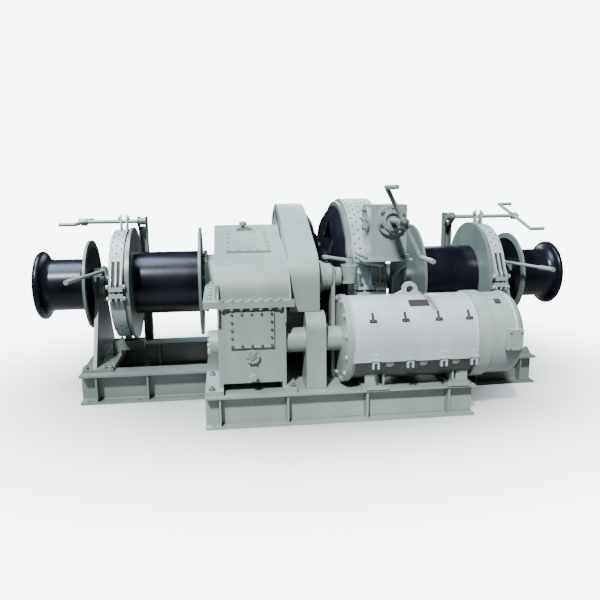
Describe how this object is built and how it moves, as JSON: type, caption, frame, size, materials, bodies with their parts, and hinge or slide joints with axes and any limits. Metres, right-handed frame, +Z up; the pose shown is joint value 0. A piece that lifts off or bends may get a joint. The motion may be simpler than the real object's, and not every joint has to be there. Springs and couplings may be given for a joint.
{
  "type": "anchor windlass",
  "caption": "Electric anchor windlass with a chain wheel, mooring drums, warping heads, gearbox and motor on one welded base.",
  "frame": {"origin": "on the deck, at the middle of the welded base under the main shaft's axis", "axes": "+X along the main shaft to the right as seen from the motor side, +Y away from the motor side, +Z up"},
  "size_m": [3.444, 1.769, 1.281],
  "materials": {
    "grey_paint": "satin",
    "black_paint": "gloss",
    "shaft_steel": "machined",
    "copper_screw": "machined"
  },
  "bodies": {
    "base": {"left_front_beam": "grey_paint", "left_end_beam": "grey_paint", "right_front_beam": "grey_paint", "right_end_beam": "grey_paint", "rear_beam": "grey_paint", "bed_plate": "grey_paint", "bed_front_beam": "grey_paint", "bed_cross_beams": "grey_paint", "gearbox_lower": "grey_paint", "gearbox_upper": "grey_paint", "gearbox_covers": "grey_paint", "gear_guard": "grey_paint", "coupling_cover": "grey_paint", "coupling_housings": "grey_paint", "motor_body": "grey_paint", "motor_cover": "grey_paint", "motor_end_bell": "grey_paint", "motor_terminal_box": "grey_paint", "left_pedestal": "grey_paint", "right_pedestal": "grey_paint", "centre_pedestal": "grey_paint", "left_band_upper": "grey_paint", "left_band_lower": "grey_paint", "right_band_upper": "grey_paint", "right_band_lower": "grey_paint", "left_brake_post": "grey_paint", "right_brake_post": "grey_paint", "left_brake_anchor": "grey_paint", "right_brake_anchor": "grey_paint", "anchor_band_upper": "grey_paint", "anchor_band_lower": "grey_paint", "band_anchor": "grey_paint", "pinion_bearing": "grey_paint", "brake_box": "grey_paint", "brake_box_stand": "grey_paint", "brake_screw": "copper_screw"},
    "shaft_line": {"main_shaft": "shaft_steel", "left_warping_head": "black_paint", "right_warping_head": "black_paint", "left_head_disc": "black_paint", "right_head_disc": "black_paint"},
    "left_drum_unit": {"left_drum": "black_paint", "left_drum_flanges": "grey_paint"},
    "right_drum_unit": {"right_drum": "black_paint", "right_drum_flanges": "grey_paint"},
    "cable_lifter": {"chain_wheel": "black_paint", "anchor_brake_wheel": "grey_paint"},
    "left_crank": {"left_brake_crank": "grey_paint"},
    "right_crank": {"right_brake_crank": "grey_paint"},
    "centre_crank": {"centre_brake_crank": "grey_paint"},
    "left_lever": {"left_clutch_lever": "grey_paint"},
    "right_lever": {"right_clutch_lever": "grey_paint"},
    "centre_lever": {"centre_clutch_lever": "grey_paint"}
  },
  "joints": [
    {"name": "shaft_turn", "type": "hinge", "parent": "base", "child": "shaft_line", "pos_m": [0, 0, 0.665], "axis": [1, 0, 0], "continuous": true},
    {"name": "left_drum_turn", "type": "hinge", "parent": "base", "child": "left_drum_unit", "pos_m": [0, 0, 0.665], "axis": [1, 0, 0], "continuous": true},
    {"name": "right_drum_turn", "type": "hinge", "parent": "base", "child": "right_drum_unit", "pos_m": [0, 0, 0.665], "axis": [1, 0, 0], "continuous": true},
    {"name": "chain_wheel_turn", "type": "hinge", "parent": "base", "child": "cable_lifter", "pos_m": [0, 0, 0.665], "axis": [1, 0, 0], "continuous": true},
    {"name": "left_crank_turn", "type": "hinge", "parent": "base", "child": "left_crank", "pos_m": [-1.5, 0.335, 1.045], "axis": [1, 0, 0], "range_deg": [-765, 450]},
    {"name": "right_crank_turn", "type": "hinge", "parent": "base", "child": "right_crank", "pos_m": [1.615, 0.335, 1.045], "axis": [1, 0, 0], "range_deg": [-765, 450]},
    {"name": "centre_crank_turn", "type": "hinge", "parent": "base", "child": "centre_crank", "pos_m": [0.365, -0.96, 1.088], "axis": [0, 1, 0], "range_deg": [-765, 450]},
    {"name": "left_lever_swing", "type": "hinge", "parent": "base", "child": "left_lever", "pos_m": [-1.3, -0.135, 0.767], "axis": [0, 0, 1], "range_deg": [-10, 15]},
    {"name": "right_lever_swing", "type": "hinge", "parent": "base", "child": "right_lever", "pos_m": [1.3, -0.135, 0.767], "axis": [0, 0, 1], "range_deg": [-15, 10]},
    {"name": "centre_lever_swing", "type": "hinge", "parent": "base", "child": "centre_lever", "pos_m": [0.158, -0.6, 0.855], "axis": [0, 0, 1], "range_deg": [-20, 0]}
  ]
}
